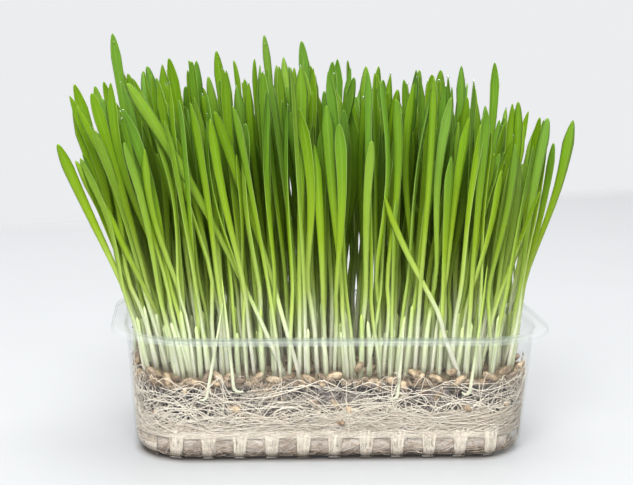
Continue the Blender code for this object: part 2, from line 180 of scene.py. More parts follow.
# Roots: how many of each kind, how long, how high on the wall, how steep and bent, how deep, thick and pale
BAND = Kind(
    count=1150, length=(0.014, 0.060), step=0.0036, span=(0.0110, 0.0235), lowest=0.0104, slant=0.28,
    bend=22, depth=(0.0009, 0.0015), radius=(0.00007, 0.00024), pale=(0.3, 1.0), sides=3, thinner_left=0.0065,
)
ARCS = Kind(
    count=40, length=(0.030, 0.090), step=0.0020, span=(0.0150, 0.0335), lowest=0.0100, slant=0.55,
    bend=19, depth=(0.0010, 0.0021), radius=(0.00010, 0.00021), pale=(0.6, 1.0), sides=4, thinner_left=0.0,
)
HAIRS = Kind(
    count=3200, length=(0.005, 0.017), step=0.0017, span=(0.0130, 0.0355), lowest=0.0098, slant=1.2,
    bend=190, depth=(0.0012, 0.0026), radius=(0.00003, 0.00008), pale=(0.35, 1.0), sides=3, thinner_left=0.0,
)
GAP_HAIRS = Kind(
    count=950, length=(0.004, 0.020), step=0.0019, span=(0.0030, 0.0105), lowest=0.0018, slant=0.5,
    bend=110, depth=(0.0009, 0.0013), radius=(0.00004, 0.00013), pale=(0.0, 0.8), sides=3, thinner_left=0.0,
)
ROOT_CEILING = 0.0395
TURN_BACK = 420
TURN_BACK_HARDER = 300
HAIR_KNOTS = 44
KNOTTED_SHARE = 0.6
LOOPS = 170
LOOP_STEPS = 17
TUFTS = 66
ROOTS_PER_TUFT = 2
CHANNEL_ROOTS = 90
CHANNEL_ROOT_STEPS = 6
ARCH_ROOTS = 34
ARCH_STEPS = 13

# Camera, fitted to the photograph
CAMERA_PLACE = Vector((-0.06414, -0.65537, 0.19299))
CAMERA_AHEAD = Vector((0.08810, 0.98328, -0.15936))
CAMERA_ROLL = math.radians(-1.01)
CAMERA_LENS = 85.31
FLOOR_REACH = 1.6

# The straight core of the tray's rounded outline, and a round of it at a middling radius
CORE_X = RIM_LENGTH / 2 - RIM_RADIUS
CORE_Y = RIM_WIDTH / 2 - RIM_RADIUS
TURN_RADIUS = 0.026
TURN = TURN_RADIUS * math.pi / 2
STOPS = np.cumsum([0, CORE_X, TURN, 2 * CORE_Y, TURN, 2 * CORE_X, TURN, 2 * CORE_Y, TURN, CORE_X])
ROUND = float(STOPS[-1])
FIRST_CHANNEL = -(CHANNELS - 1) / 2 * CHANNEL_PITCH


# Shapes


def wall_radius(z, inset):
    """The radius of the tray's corners at height z, taken inwards by inset from the wall's outer face."""
    z = np.asarray(z, float)
    below = np.maximum(0.0, FOOT_ROUNDING - z)
    arc = np.sqrt(np.maximum(1e-9, (FOOT_ROUNDING - inset) ** 2 - below**2))
    inset = np.where(below > 0, FOOT_ROUNDING - arc, inset)
    return RIM_RADIUS - FLANGE - (RIM_HEIGHT - z) * DRAFT - inset


def around(distance):
    """The core point and the outward direction at a distance round the tray, from its front's middle."""
    distance = np.asarray(distance, float) % ROUND
    core_x = np.interp(distance, STOPS, np.array([0, 1, 1, 1, 1, -1, -1, -1, -1, 0]) * CORE_X)
    core_y = np.interp(distance, STOPS, np.array([-1, -1, -1, 1, 1, 1, 1, -1, -1, -1]) * CORE_Y)
    angle = np.radians(np.interp(distance, STOPS, [-90, -90, 0, 0, 90, 90, 180, 180, 270, 270]))
    zero = np.zeros_like(core_x)
    return np.stack([core_x, core_y, zero], -1), np.stack([np.cos(angle), np.sin(angle), zero], -1)


def wall(distance, z, inset):
    """Points at those distances round the tray, at height z and inset from the wall's outer face."""
    core, outward = around(distance)
    points = core + outward * wall_radius(z, inset)[..., None]
    points[..., 2] = z
    return points


def front_points(x, heights, inset, side):
    """Points inset from the outer face of the front or the back wall, at those places along the tray."""
    past = np.maximum(0.0, np.abs(x) - CORE_X)
    y = side * (CORE_Y + np.sqrt(np.maximum(1e-9, wall_radius(heights, inset) ** 2 - past**2)))
    return np.stack([np.broadcast_to(x, np.shape(y)), y, heights], -1)


def leftness(distance):
    """0 at the tray's right end and 1 at its left, for a distance round the tray."""
    return np.clip(0.5 - wall(distance, MAT_TOP, 0.0)[..., 0] / RIM_LENGTH, 0.0, 1.0)


def soft_step(low, high, value):
    """0 below low, 1 above high, and a smooth rise between."""
    share = np.clip((np.asarray(value, float) - low) / (high - low), 0.0, 1.0)
    return share * share * (3 - 2 * share)


def held(value, limit):
    """A number kept within a limit on either side of 0."""
    return max(-limit, min(limit, value))


def unit(vectors):
    """Vectors brought to a length of 1."""
    return vectors / (np.linalg.norm(vectors, axis=1, keepdims=True) + 1e-12)


def tube_rings(path, radii, out, sides):
    """Rings of a tube along a path. Their first points lie towards out."""
    along = unit(np.gradient(path, axis=0))
    across = unit(np.cross(along, out))
    outward = np.cross(across, along)
    turns = 2 * np.pi * np.arange(sides)[None, :, None] / sides
    circle = np.cos(turns) * outward[:, None, :] + np.sin(turns) * across[:, None, :]
    return path[:, None, :] + circle * np.reshape(radii, (-1, 1, 1))


def show(name, data):
    """An object in the scene."""
    made = bpy.data.objects.new(name, data)
    bpy.context.scene.collection.objects.link(made)
    return made


def piece(name, mesh, look, replaces=()):
    """An object of the part: it rides on the root body and takes the given look."""
    made = show(name, mesh)
    made.data.materials.clear()
    made.data.materials.append(look)
    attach(made, "root")
    if replaces:
        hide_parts(*replaces)


class Skin:
    """The vertices, faces and per-vertex values of a piece that is put together from many closed forms."""

    def __init__(self, *values):
        self.points = []
        self.faces = []
        self.values = {name: [] for name in values}
        self.count = 0

    def add(self, rings, foot=None, apex=None, **values):
        """A closed form through rings, shaped (rings, sides, 3). Its ends are flat, or drawn to a point."""
        rings = np.asarray(rings, float)
        levels, sides = rings.shape[:2]
        first = self.count
        last = first + (levels - 1) * sides
        self.points.append(rings.reshape(-1, 3))
        self.count += levels * sides
        for low in range(first, last, sides):
            for k in range(sides):
                before = (k - 1) % sides
                self.faces.append((low + before, low + k, low + sides + k, low + sides + before))
        self.close(range(first + sides - 1, first - 1, -1), foot)
        self.close(range(last, last + sides), apex)
        for name, kept in self.values.items():
            spread = np.broadcast_to(values.get(name, 0.0), (levels, sides))
            at_foot = spread[0, -1:] if foot is not None else []
            at_apex = spread[-1, :1] if apex is not None else []
            kept.append(np.concatenate([spread.reshape(-1), at_foot, at_apex]))

    def close(self, ring, point):
        """Closes an end with one face, or with a fan of faces round a point."""
        if point is None:
            self.faces.append(tuple(ring))
            return
        self.points.append(np.asarray(point, float).reshape(1, 3))
        for k, vert in enumerate(ring):
            self.faces.append((ring[k - 1], vert, self.count))
        self.count += 1

    def mesh(self, name):
        """The mesh of everything added."""
        made = bpy.data.meshes.new(name)
        made.from_pydata(np.concatenate(self.points).tolist(), [], self.faces)
        for key, kept in self.values.items():
            made.attributes.new(key, "FLOAT", "POINT").data.foreach_set("value", np.concatenate(kept))
        made.shade_smooth()
        return made

    def piece(self, name, look, slot, replaces=()):
        """Everything added, as an object of the part."""
        piece(name, self.mesh(name), look, replaces)


def loft(name, rings):
    """A closed solid through rings, as an object, for Booleans."""
    skin = Skin()
    skin.add(rings)
    return show(name, skin.mesh(name))


def carve(target, tools):
    """Takes the tools out of the target, and removes them."""
    held_tools = bpy.data.collections.new("tools")
    bpy.context.scene.collection.children.link(held_tools)
    for tool in tools:
        bpy.context.scene.collection.objects.unlink(tool)
        held_tools.objects.link(tool)
    modifier = target.modifiers.new("Carve", "BOOLEAN")
    modifier.operation = "DIFFERENCE"
    modifier.operand_type = "COLLECTION"
    modifier.collection = held_tools
    modifier.solver = "EXACT"
    result = bpy.data.meshes.new_from_object(target.evaluated_get(bpy.context.evaluated_depsgraph_get()))
    target.modifiers.clear()
    target.data = result
    for tool in tools:
        bpy.data.objects.remove(tool)
    bpy.data.collections.remove(held_tools)
    return target


def finished_mesh(body, sharp):
    """The mesh of a carved body, smooth but at edges over sharp degrees. The body itself goes."""
    mesh = body.data
    bpy.data.objects.remove(body)
    mesh.shade_smooth()
    mesh.set_sharp_from_angle(angle=math.radians(sharp))
    return mesh


# The tray


def rounded(radius, z):
    """The tray's core rectangle grown by a radius, counter-clockwise, at height z."""
    points = []
    for k, (side_x, side_y) in enumerate(((1, -1), (1, 1), (-1, 1), (-1, -1))):
        for step in range(CORNER_STEPS + 1):
            angle = math.pi / 2 * (k - 1 + step / CORNER_STEPS)
            x = side_x * CORE_X + radius * math.cos(angle)
            points.append((x, side_y * CORE_Y + radius * math.sin(angle), z))
    return points


def basin(places):
    """Rings of the tray's wall through (inset, height) places."""
    return [rounded(RIM_RADIUS - FLANGE - (RIM_HEIGHT - z) * DRAFT - inset, z) for inset, z in places]


def foot_places(offset, steps=6):
    """(inset, height) places up the rounded foot of the basin that lies offset inside the outer face."""
    arc = FOOT_ROUNDING - offset
    angles = [math.pi / 2 * k / steps for k in range(steps + 1)]
    return [(FOOT_ROUNDING - arc * math.sin(a), FOOT_ROUNDING - arc * math.cos(a)) for a in angles]


def gap_places():
    """The middle of each gap between the channels, and how much narrower those at the tray's ends are."""
    shifts = [END_GAP_SHIFT] + [0.0] * (CHANNELS - 1) + [-END_GAP_SHIFT]
    for k, shift in enumerate(shifts):
        yield FIRST_CHANNEL + (k - 0.5) * CHANNEL_PITCH + shift, END_GAP_NARROWER if shift else 0.0


def rib_gaps(grow, keep_right_foot_empty=False):
    """The gaps under the floor, between the channels, each grown all round by grow."""
    profile = (
        (GAP_MOUTH, -0.002),
        (GAP_MOUTH, 0.0),
        (GAP_FOOT, GAP_CHAMFER),
        (GAP_TOP, CHANNEL_DEPTH - 0.0010),
        (GAP_TOP - 0.0004, CHANNEL_DEPTH - 0.0003),
        (GAP_TOP - 0.0012, CHANNEL_DEPTH),
    )
    made = []
    for k, (middle, narrower) in enumerate(gap_places()):
        right = [(x - narrower + grow, z + (grow if z > GAP_CHAMFER else 0.0)) for x, z in profile]
        section = right + [(-x, z) for x, z in reversed(right)]
        if keep_right_foot_empty and k == CHANNELS:
            section = [(x if x < 0 else RIM_LENGTH / 8, z) for x, z in section]
        rings = [[(middle + x, y, z) for x, z in section] for y in (RIM_WIDTH * 0.6, -RIM_WIDTH * 0.6)]
        made.append(loft(f"gap_{k}", rings))
    return made


def build_tray(look):
    """The clear tray: drafted wall, rolled flange with a turned-down lip, and the ribbed floor."""
    under = RIM_HEIGHT - SHEET
    lip_foot = RIM_HEIGHT - LIP
    bend = [(0.0, under - 0.0014), (-0.0004, under - 0.0004), (-0.0014, under)]
    rim = (
        (0.0014, under),
        (SHEET, under - 0.0005),
        (SHEET, lip_foot),
        (SHEET / 2, lip_foot - 0.0002),
        (0.0, lip_foot),
        (0.0, RIM_HEIGHT - 0.0007),
        (0.0002, RIM_HEIGHT - 0.0002),
        (0.0007, RIM_HEIGHT),
    )
    rings = basin(foot_places(0.0) + bend) + [rounded(RIM_RADIUS - inset, z) for inset, z in rim]
    tray = carve(loft("tray_body", rings), rib_gaps(0.0))
    mouth = ((SHEET, 0.0022), (SHEET - 0.0003, 0.0010), (SHEET - 0.0012, 0.0001), (SHEET - 0.0016, -0.0020))
    inner = foot_places(SHEET) + [(inset, RIM_HEIGHT - drop) for inset, drop in mouth]
    hollow = carve(loft("hollow", basin(inner)), rib_gaps(SHEET))
    piece("clear_tray", finished_mesh(carve(tray, [hollow]), 32), look, ["tray"])


# Roots


def felt(x, y, z):
    """How far the matted surface is drawn in, from 0 to 1: long waves crossed by short ones."""
    along = x + y * 1.3
    waves = np.sin(along * 390 + 2.1 * np.sin(z * 410)) + 0.7 * np.sin(along * 145 - z * 520)
    return np.clip(0.5 + 0.32 * waves, 0.0, 1.0)


def rough(points, size, seed):
    """Smooth noise of that grain size at each point, about -1 to 1."""
    return np.array([noise.noise(Vector(p) / size + Vector((seed, 0, 0))) for p in points])


def matted_rings(heights, offset, relief, lump, seed, dip=0.0):
    """Rings round the tray, drawn in from offset by the felt's relief and by lumps. The top may dip."""
    distances = np.linspace(0, ROUND, int(ROUND / RING_SPACING), endpoint=False)
    sag = dip * (0.5 + 0.5 * rough(wall(distances, MAT_TOP, 0.0), 0.013, seed + 4))
    sag = sag + dip * 0.6 * leftness(distances)
    rings = []
    for z in heights:
        levels = z - sag * soft_step(0.45, 1.0, (z - heights[0]) / (heights[-1] - heights[0]))
        flat = wall(distances, levels, offset)
        drawn = relief * felt(flat[:, 0], flat[:, 1], z) + lump * (0.5 + 0.5 * rough(flat, 0.0028, seed))
        drawn = drawn * soft_step(FOOT_ROUNDING, FOOT_ROUNDING * 1.5, z)
        rings.append(wall(distances, levels, offset + drawn))
    return rings


def build_felt(look):
    """The felt of roots that fills the channels and the lower tray."""
    arc = FOOT_ROUNDING - FELT_INSET
    heights = [FOOT_ROUNDING - arc * math.cos(math.radians(a)) for a in range(4, 90, 14)]
    heights += [*np.arange(FOOT_ROUNDING, MAT_TOP, 0.0011), MAT_TOP]
    body = loft("felt", matted_rings(heights, FELT_INSET, FELT_RELIEF, FELT_LUMP, 3.0, FELT_DIP))
    carve(body, rib_gaps(FELT_INSET, keep_right_foot_empty=True))
    piece("root_felt", finished_mesh(body, 40), look, ["root_mat"])


def wander(rng, steps, drift, pull):
    """A number that wanders smoothly about 0."""
    values = [0.0]
    turn = 0.0
    for _ in range(steps - 1):
        turn = 0.72 * turn + rng.gauss(0, drift)
        values.append(values[-1] * (1 - pull) + turn)
    return np.array(values)


def tapered(steps, radius):
    """The radii along a root, thinner at both ends."""
    radii = np.full(steps, radius)
    radii[[0, -1]] /= 2
    return radii


def root_strand(skin, rng, kind, start=None, knot=None):
    """One root inside the wall: a smooth wandering curve that turns back at the ends of its span of heights.

    With a start it leaves that place downwards and swings round to lie along the tray. With a knot it starts
    near that place.
    """
    length = rng.uniform(*kind.length)
    steps = max(6, int(length / kind.step))
    step = length / (steps - 1)
    low, high = kind.span
    high += rng.gauss(0, 0.0012)
    if start is None:
        distance = rng.uniform(0, ROUND)
        high -= kind.thinner_left * leftness(distance)
        z = rng.uniform(low, high)
        if knot:
            distance = knot[0] + rng.gauss(0, 0.0050)
            z = min(high, knot[1] + rng.gauss(0, 0.0021))
        heading = rng.choice((0.0, math.pi)) + rng.gauss(0, kind.slant)
        turn = rng.gauss(0, kind.bend)
    else:
        distance, z = start
        heading = -math.pi / 2 + rng.gauss(0, 0.75)
        turn = rng.uniform(0.5, 1.6) * math.copysign(kind.bend, math.cos(heading))
    points = [(distance, z)]
    for _ in range(steps - 1):
        over = max(0.0, z - high) - max(0.0, low - z)
        turn = (0.97 if start else 0.9) * turn + 0.3 * rng.gauss(0, kind.bend)
        heading += turn * step - TURN_BACK * over * (1 + TURN_BACK_HARDER * abs(over)) * math.cos(heading)
        distance += step * math.cos(heading)
        z = min(ROOT_CEILING, max(kind.lowest, z + step * math.sin(heading)))
        points.append((distance, z))
    along, heights = np.array(points).T
    shallow, deep = kind.depth
    insets = np.clip(rng.uniform(shallow, deep) + wander(rng, steps, 0.00010, 0.05), shallow, deep)
    radii = tapered(steps, rng.uniform(*kind.radius))
    rings = tube_rings(wall(along, heights, insets), radii, around(along)[1], kind.sides)
    skin.add(rings, tone=rng.uniform(*kind.pale))


def root_loop(skin, rng):
    """A root that leaves the band, bends over in front of the soil and comes back to the band."""
    share = np.linspace(0.0, 1.0, LOOP_STEPS)
    middle = rng.uniform(0, ROUND)
    half = rng.uniform(0.004, 0.017)
    foot = rng.uniform(0.0185, 0.0235) - 0.0045 * leftness(middle)
    lift = min(half * rng.uniform(0.35, 0.95), rng.uniform(0.0270, 0.0335) - foot)
    arch = np.sin(np.pi * share) ** rng.uniform(0.7, 1.1)
    lean = rng.gauss(0, 0.5)
    along = middle - half * np.cos(np.pi * share) + lean * lift * arch
    along = along + wander(rng, LOOP_STEPS, 0.00010, 0.05)
    heights = foot + lift * arch + rng.gauss(0, 0.0015) * share
    heights = heights + wander(rng, LOOP_STEPS, 0.00008, 0.05)
    path = wall(along, heights, rng.uniform(0.0009, 0.0016))
    radii = tapered(LOOP_STEPS, rng.uniform(0.00009, 0.00021))
    skin.add(tube_rings(path, radii, around(along)[1], 4), tone=rng.uniform(0.5, 1.0))


def loops_and_tufts(skin, rng):
    """Roots that loop up out of the band, and tufts of roots that come down from the grain."""
    for _ in range(LOOPS):
        root_loop(skin, rng)
    for k in range(TUFTS):
        start = ((k + rng.uniform(-0.4, 0.4)) / TUFTS * ROUND, rng.uniform(0.0290, 0.0332))
        for _ in range(ROOTS_PER_TUFT):
            root_strand(skin, rng, ARCS, start)


def front_fibre(skin, rng, x, heights, inset, side, radii):
    """A fibre through those places, just inside the front or the back wall."""
    outward = np.tile([0.0, float(side), 0.0], (len(x), 1))
    rings = tube_rings(front_points(x, heights, inset, side), rng.uniform(*radii), outward, 3)
    skin.add(rings, tone=rng.uniform(0.5, 1.0))


def channel_fibre(skin, rng, middle, side):
    """A fibre that hangs down a channel's end, just inside the tray's wall."""
    across = rng.uniform(-1, 1)
    foot = rng.uniform(0.0010, 0.0015) + 0.0015 * across**4
    heights = np.linspace(rng.uniform(0.0098, 0.0142), foot, CHANNEL_ROOT_STEPS)
    x = middle + across * (0.0019 + 0.095 * heights) + wander(rng, CHANNEL_ROOT_STEPS, 0.00006, 0.0)
    inset = FELT_INSET + rng.uniform(-0.0001, 0.0003)
    front_fibre(skin, rng, x, heights, inset, side, (0.00009, 0.00021))


def arch_fibre(skin, rng, middle, side):
    """A fibre that runs from one channel over the gap beside it and down into the next."""
    share = np.linspace(0.0, 1.0, ARCH_STEPS)
    ends = middle + rng.uniform(-0.0018, 0.0022), middle + CHANNEL_PITCH + rng.uniform(-0.0022, 0.0018)
    x = ends[0] + (ends[1] - ends[0]) * share
    low = rng.uniform(0.0035, 0.0085)
    top = CHANNEL_DEPTH + SHEET + rng.uniform(0.0002, 0.0030)
    bulge = np.clip(np.minimum(share, 1 - share) / rng.uniform(0.20, 0.30), 0.0, 1.0)
    heights = low + (top - low) * np.sqrt(1 - (1 - bulge) ** 2) + wander(rng, ARCH_STEPS, 0.00006, 0.1)
    inset = FELT_INSET + rng.uniform(-0.0001, 0.0002)
    front_fibre(skin, rng, x, heights, inset, side, (0.00007, 0.00017))


def build_root_strands(look):
    """The roots behind the wall: a dense band, loose arcs, fine hairs, and fibres in the channels."""
    rng = random.Random(SEED + 11)
    knots = [(rng.uniform(0, ROUND), rng.uniform(0.0215, 0.0295)) for _ in range(HAIR_KNOTS)]
    kinds = (("root_band", BAND), ("root_arcs", ARCS), ("root_hairs", HAIRS), ("gap_hairs", GAP_HAIRS))
    for name, kind in kinds:
        skin = Skin("tone")
        for _ in range(kind.count):
            knotted = kind is HAIRS and rng.random() < KNOTTED_SHARE
            root_strand(skin, rng, kind, knot=rng.choice(knots) if knotted else None)
        if kind is ARCS:
            loops_and_tufts(skin, rng)
        skin.piece(name, look, "root_felt")
    fibres = Skin("tone")
    for k in range(CHANNELS):
        middle = (k - (CHANNELS - 1) / 2) * CHANNEL_PITCH
        for side in (-1, 1):
            for _ in range(CHANNEL_ROOTS):
                channel_fibre(fibres, rng, middle, side)
            for _ in range(ARCH_ROOTS if k + 1 < CHANNELS else 0):
                arch_fibre(fibres, rng, middle, side)
    fibres.piece("channel_roots", look, "root_felt")


def build_gap_films(look):
    """The film of fine roots and painted shade that closes each gap between two channels, a little inside the
    tray's wall.
    """
    skin = Skin()
    heights = np.linspace(FILM_FOOT, CHANNEL_DEPTH + FILM_OVERLAP, 6)
    full = np.interp(heights, (0.0, GAP_CHAMFER, CHANNEL_DEPTH), (GAP_MOUTH, GAP_FOOT, GAP_TOP))
    full = full + FILM_OVERLAP
    for middle, narrower in gap_places():
        for side in (-1, 1):
            rings = []
            for share in np.linspace(-side, side, 7):
                outer = front_points(middle + share * (full - narrower), heights, FILM_INSET, side)
                inner = outer - np.array([0.0, side * FILM_THICKNESS, 0.0])
                rings.append(np.concatenate([outer, inner[::-1]]))
            skin.add(rings)
    skin.piece("gap_films", look, "root_felt")


# Soil and grain


def build_soil(look):
    """The dark soil over the felt, lumpy where it faces the wall, with crumbs on its face."""
    heights = np.linspace(MAT_TOP - 0.0095, SOIL_TOP, 15)
    skin = Skin()
    skin.add(matted_rings(heights, SHEET + SOIL_INSET, SOIL_RELIEF * 0.7, 0.0012, 9.0))
    skin.piece("soil_bed", look, "dark_soil", ["soil"])
    rng = random.Random(SEED + 21)
    crumbs = Skin()
    for _ in range(CRUMBS):
        distance = rng.uniform(0, ROUND)
        place = wall(distance, rng.uniform(0.0215, 0.0345), rng.uniform(0.0020, 0.0042))
        crumb(crumbs, rng, place, rng.choice(CRUMB_SIZES))
    for _ in range(STRAY_CRUMBS):
        place = wall(rng.uniform(0, ROUND), rng.uniform(0.0100, 0.0500), SHEET + 0.0004)
        crumb(crumbs, rng, place, rng.uniform(0.00025, 0.00045))
    crumbs.piece("soil_crumbs", look, "dark_soil")


def crumb(skin, rng, place, size):
    """A lump of soil: a squat, uneven ball."""
    turn = rng.uniform(0, math.pi)
    rings = []
    for level, reach in ((-0.6, 0.75), (0.0, 1.0), (0.6, 0.7)):
        ring = []
        for k in range(6):
            angle = turn + math.pi / 3 * k
            out = size * reach * rng.uniform(0.75, 1.2)
            height = size * level * rng.uniform(0.8, 1.1)
            ring.append(place + np.array([out * math.cos(angle), out * math.sin(angle), height]))
        rings.append(ring)
    half = np.array([0, 0, size * 0.9])
    skin.add(rings, foot=place - half, apex=place + half)


def build_grain_bed(look):
    """The matted layer of sown grain, as a lumpy surface that the stems grow through."""
    distances = np.linspace(0, ROUND, 210, endpoint=False)
    edge = float(wall_radius(LAYER_TOP, SHEET + LAYER_INSET))
    core, outward = around(distances)
    rings = [wall(distances, SOIL_TOP - 0.001, SHEET + LAYER_INSET)]
    for share in (1.0, 0.96, 0.9, 0.8, 0.7, 0.6, 0.5, 0.4, 0.3, 0.2, 0.1, 0.05):
        rings.append(core + outward * edge * share)
    for share in (0.85, 0.7, 0.55, 0.4, 0.25, 0.1):
        rings.append(core * share + outward * edge * 0.05 * share)
    for k, ring in enumerate(rings[1:]):
        lift = 0.0011 * rough(ring, 0.0042, 5.0) + 0.0006 * rough(ring, 0.0018, 8.0)
        ring[:, 2] = LAYER_TOP - 0.0004 + lift - (0.0011 if k == 0 else 0.0)
    skin = Skin("tone")
    skin.add(rings, apex=(0.0, 0.0, LAYER_TOP), tone=0.25)
    skin.piece("grain_bed", look, "barley_grain", ["grain_layer"])


def grain(skin, rng, place, heading, tilt, scale=1.0):
    """One barley grain: a spindle with a crease along its belly."""
    along = Vector((math.cos(heading) * math.cos(tilt), math.sin(heading) * math.cos(tilt), math.sin(tilt)))
    side = along.cross(Vector((0, 0, 1))).normalized()
    up = side.cross(along)
    place = Vector(place)
    length = GRAIN_LENGTH * scale
    roll = rng.uniform(0, 6.28)
    rings = []
    for share, full in GRAIN_PROFILE:
        ring = []
        for k in range(8):
            reach = GRAIN_WIDTH * scale / 2 * full * (0.72 if k == 6 else 1.0)
            angle = 2 * math.pi * k / 8 + roll
            out = reach * (math.cos(angle) * side - math.sin(angle) * up)
            ring.append(place + along * length * share - out)
        rings.append(ring)
    half = along * length * 0.5
    skin.add(rings, foot=place - half, apex=place + half, tone=rng.random())


def lay_grain(skin, rng, distance, height, inset, wildness):
    """A grain against the wall, lying about along it."""
    place = wall(distance, height, inset)
    outward = around(distance)[1]
    heading = math.atan2(outward[0], -outward[1]) + rng.gauss(0, wildness)
    scale = rng.uniform(0.88, 1.08)
    grain(skin, rng, place, heading, rng.gauss(0, wildness), scale)


def build_grains(look):
    """The grains: those of the part's source, and finer ones between them and down in the soil."""
    skin = Skin("tone")
    rng = random.Random(SEED + 1)
    for k in range(GRAINS_ON_EDGE):
        share = (k + rng.uniform(-0.2, 0.2)) / GRAINS_ON_EDGE
        height = LAYER_TOP + GRAIN_RISE + rng.uniform(-0.0018, 0.0008)
        lay_grain(skin, rng, share * ROUND, height, GRAIN_INSET + rng.uniform(0.0, 0.0012), 0.35)
    rng = random.Random(SEED + 31)
    for _ in range(GRAINS_AT_WALL):
        distance = rng.uniform(0, ROUND)
        lay_grain(skin, rng, distance, rng.gauss(0.0338, 0.0030), rng.uniform(0.0030, 0.0052), 0.6)
    for _ in range(GRAINS_IN_SOIL):
        lay_grain(skin, rng, rng.uniform(0, ROUND), rng.uniform(0.0170, 0.0280), 0.0029, 0.6)
    for _ in range(GRAINS_ON_TOP):
        share = rng.random() ** 0.5 * 0.9
        core, outward = around(rng.uniform(0, ROUND))
        place = core * rng.random() + outward * 0.022 * share
        place[2] = LAYER_TOP + rng.uniform(-0.0006, 0.0008)
        grain(skin, rng, place, rng.uniform(0, math.pi), rng.gauss(0, 0.2))
    skin.piece("grains", look, "barley_grain")


# Grass


def row_y(row):
    """Where a row of grass stands, front row first."""
    return (row - (ROWS - 1) / 2) * ROW_PITCH


def row_reach(row):
    """Half the length of a row."""
    radius = float(wall_radius(LAYER_TOP, SHEET + LAYER_INSET + ROW_END_SPACE))
    past = max(0.0, abs(row_y(row)) + SLOT_HALF_WIDTH - CORE_Y)
    return CORE_X + math.sqrt(radius**2 - past**2)


def rim_room(x, y):
    """How far inside the tray's mouth a point lies, less the space that a blade needs there."""
    over_x = abs(x) - CORE_X
    over_y = abs(y) - CORE_Y
    outside = math.hypot(max(over_x, 0.0), max(over_y, 0.0)) + min(max(over_x, over_y), 0.0)
    return RIM_RADIUS - FLANGE - outside - SHEET - RIM_SPACE


def lean_at(x):
    """How far the tips stand to the side of their roots: well out at the left end, less at the right."""
    share = x / (RIM_LENGTH / 2)
    return -0.006 + 0.024 * share - 0.004 * share**2


def sway_at(x, phase):
    """How far a layer of a row sways aside at x, on top of its lean. The sway fades at the tray's ends."""
    return LAYER_SWAY * math.sin(x / SWAY_LENGTH + phase) * math.sqrt(1 - abs(x) / (RIM_LENGTH / 2))


def crown_at(x):
    """How high the tallest tips reach at x."""
    return np.interp(x, *zip(*CROWN))


def below_crown(rng):
    """How far a tip stays below the crown: some blades reach it, and the others end lower."""
    if rng.random() < TALL_SHARE:
        return min(2.8, abs(rng.gauss(0, 1))) * TALL_SPREAD
    return rng.uniform(*LOWER_TIPS)


class Blade:
    """A blade of grass, from a root in its row to a tip, turned to face some way."""

    def __init__(self, row, root, tip, width, facing):
        self.row = row
        self.root = Vector(root)
        self.tip = Vector(tip)
        self.width = width
        self.facing = facing
        self.tall = self.tip.z - self.root.z
        self.straight = self.bend_inside_rim()

    def bend_inside_rim(self):
        """How straight it leans: as much as keeps it inside the tray's mouth, and it bends outwards above."""
        for straight in (0.75, 0.6, 0.45, 0.3, 0.15):
            at_rim = self.at((RIM_HEIGHT - self.root.z) / self.tall, straight)
            if rim_room(at_rim.x, at_rim.y) > 0:
                return straight
        return 0.0

    def at(self, t, straight=None):
        """The point on its middle at the share t of its height."""
        straight = self.straight if straight is None else straight
        point = self.root.lerp(self.tip, straight * t + (1 - straight) * t * t)
        point.z = self.root.z + self.tall * t
        return point


def room_to_turn(layer, width):
    """The most that a leaf of that width can turn in its layer without reaching the next row."""
    room = ROW_PITCH * FAN_OUT / 2 - abs(layer - 1) * TOP_STAGGER - LEAF_RIDGE / 2 - CLEARANCE / 2
    return math.asin(min(0.96, room / (width / 2)))


def sward():
    """Every blade of the part's source, row by row."""
    rng = random.Random(SEED + 2)
    blades = []
    for row in range(ROWS):
        y = row_y(row)
        reach = row_reach(row) - ROOT_SPACE
        count = int(2 * reach / BLADE_STEP) + 1
        last_tip = [-1.0] * LAYERS
        phases = [rng.uniform(0, 2 * math.pi) for _ in range(LAYERS)]
        for k in range(count):
            layer = (k + row) % LAYERS
            root_x = held(-reach + 2 * reach * k / (count - 1) + rng.uniform(-0.2, 0.2) * BLADE_STEP, reach)
            lean = lean_at(root_x) + sway_at(root_x, phases[layer])
            tip_x = max(root_x + lean + rng.gauss(0, TIP_SCATTER), last_tip[layer] + TIP_GAP)
            last_tip[layer] = tip_x
            tip_z = crown_at(tip_x) - below_crown(rng)
            width = LEAF_WIDTH * rng.uniform(*LEAF_VARIETY)
            turn = room_to_turn(layer, width)
            root = (root_x, y + (layer - 1) * ROOT_STAGGER, ROOT_HEIGHT)
            tip = (tip_x, y * FAN_OUT + (layer - 1) * TOP_STAGGER, tip_z)
            blades.append(Blade(row, root, tip, width, rng.uniform(-turn, turn)))
    for row, root_x, tip_x, tip_z, width in LONE_BLADES:
        root = (held(root_x, row_reach(row) - ROOT_SPACE), row_y(row), ROOT_HEIGHT)
        blades.append(Blade(row, root, (tip_x, row_y(row) * FAN_OUT, tip_z), width, 0.25))
    return blades


